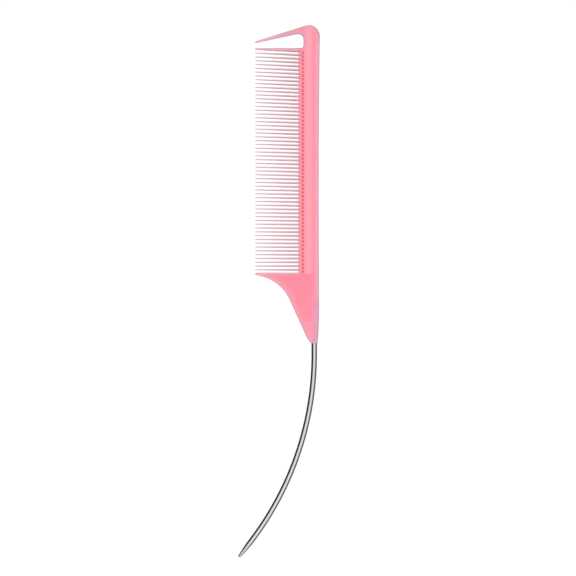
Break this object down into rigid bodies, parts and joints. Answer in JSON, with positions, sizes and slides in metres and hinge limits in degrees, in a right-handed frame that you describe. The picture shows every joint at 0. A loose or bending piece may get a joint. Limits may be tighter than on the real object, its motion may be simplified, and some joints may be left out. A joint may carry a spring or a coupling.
{
  "type": "rat tail comb",
  "caption": "Fine-toothed hair comb with a long guard tooth, a ribbed finger grip and a slim curved steel pin tail for parting and sectioning hair.",
  "frame": {"origin": "under the middle of the comb's whole outline, on the surface that it lies on", "axes": "+Y along the comb from the pin's tip to the guard tooth, +X from the tooth tips to the back of the spine, +Z out of the upper face"},
  "size_m": [0.0368, 0.24, 0.004],
  "materials": {
    "pink_plastic": "satin, slightly translucent moulded plastic",
    "pin_steel": "polished drawn wire"
  },
  "bodies": {
    "root": {"comb_body": "pink_plastic", "tail_pin": "pin_steel"}
  },
  "joints": []
}
